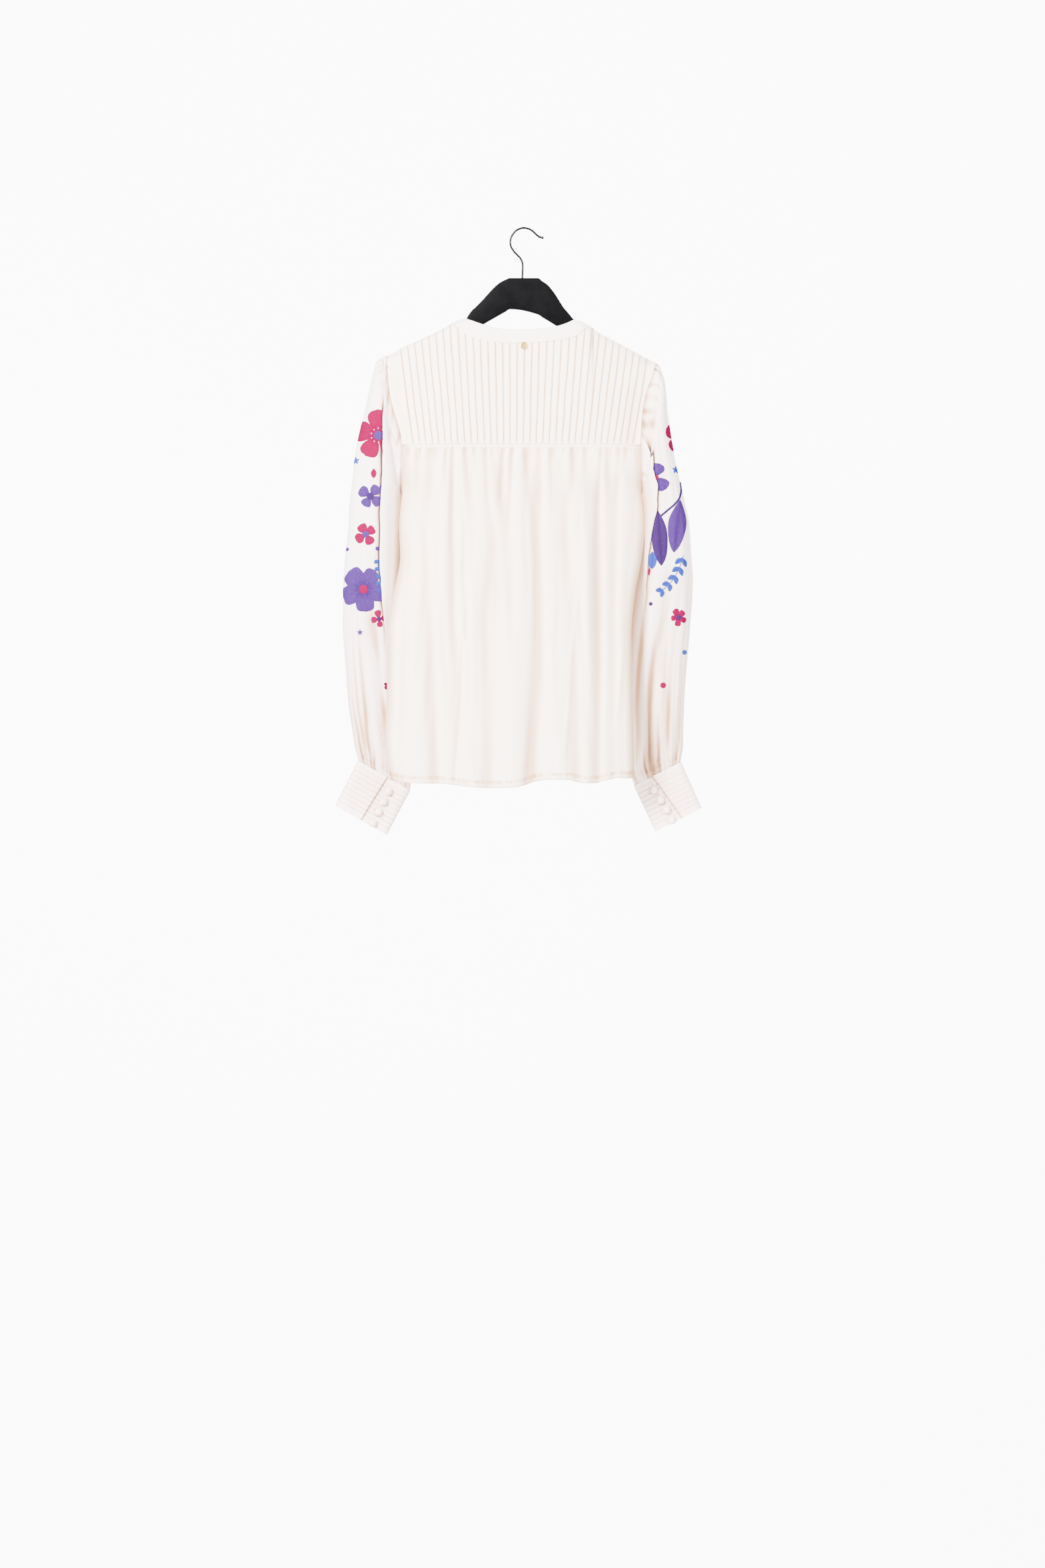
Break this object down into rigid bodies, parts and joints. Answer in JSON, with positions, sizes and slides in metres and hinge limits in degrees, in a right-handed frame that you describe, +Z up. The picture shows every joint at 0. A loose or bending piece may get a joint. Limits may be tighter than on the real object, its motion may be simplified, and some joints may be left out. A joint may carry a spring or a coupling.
{
  "type": "blouse and hanger",
  "caption": "Long-sleeved ivory blouse with a pintucked back yoke, a gathered back panel, embroidered bishop sleeves and deep tucked cuffs, hung on a flat black hanger with a wire hook",
  "frame": {"origin": "the inside top of the hook, where a rail bears", "axes": "+Z up, +Y out of the blouse's back, +X towards the wearer's left"},
  "size_m": [0.5142, 0.121, 0.8451],
  "materials": {
    "cloth": "fine matt weave",
    "covered_button": "cloth over a domed button",
    "black_wood": "satin black lacquer",
    "dark_metal": "satin black wire",
    "plain_gold": "polished, plain"
  },
  "bodies": {
    "root": {"back_panel": "cloth", "back_yoke": "cloth", "cuff_button_left_1": "covered_button", "cuff_button_left_2": "covered_button", "cuff_button_left_3": "covered_button", "cuff_button_left_4": "covered_button", "cuff_button_right_1": "covered_button", "cuff_button_right_2": "covered_button", "cuff_button_right_3": "covered_button", "cuff_button_right_4": "covered_button", "cuff_left": "cloth", "cuff_right": "cloth", "front_button_1": "covered_button", "front_button_2": "covered_button", "front_button_3": "covered_button", "front_button_4": "covered_button", "front_button_5": "covered_button", "front_button_6": "covered_button", "front_button_7": "covered_button", "front_left": "cloth", "front_right": "cloth", "hanger_hook": "dark_metal", "hanger_wood": "black_wood", "neck_disc": "plain_gold", "neckband": "cloth", "sleeve_left": "cloth", "sleeve_right": "cloth"}
  },
  "joints": []
}
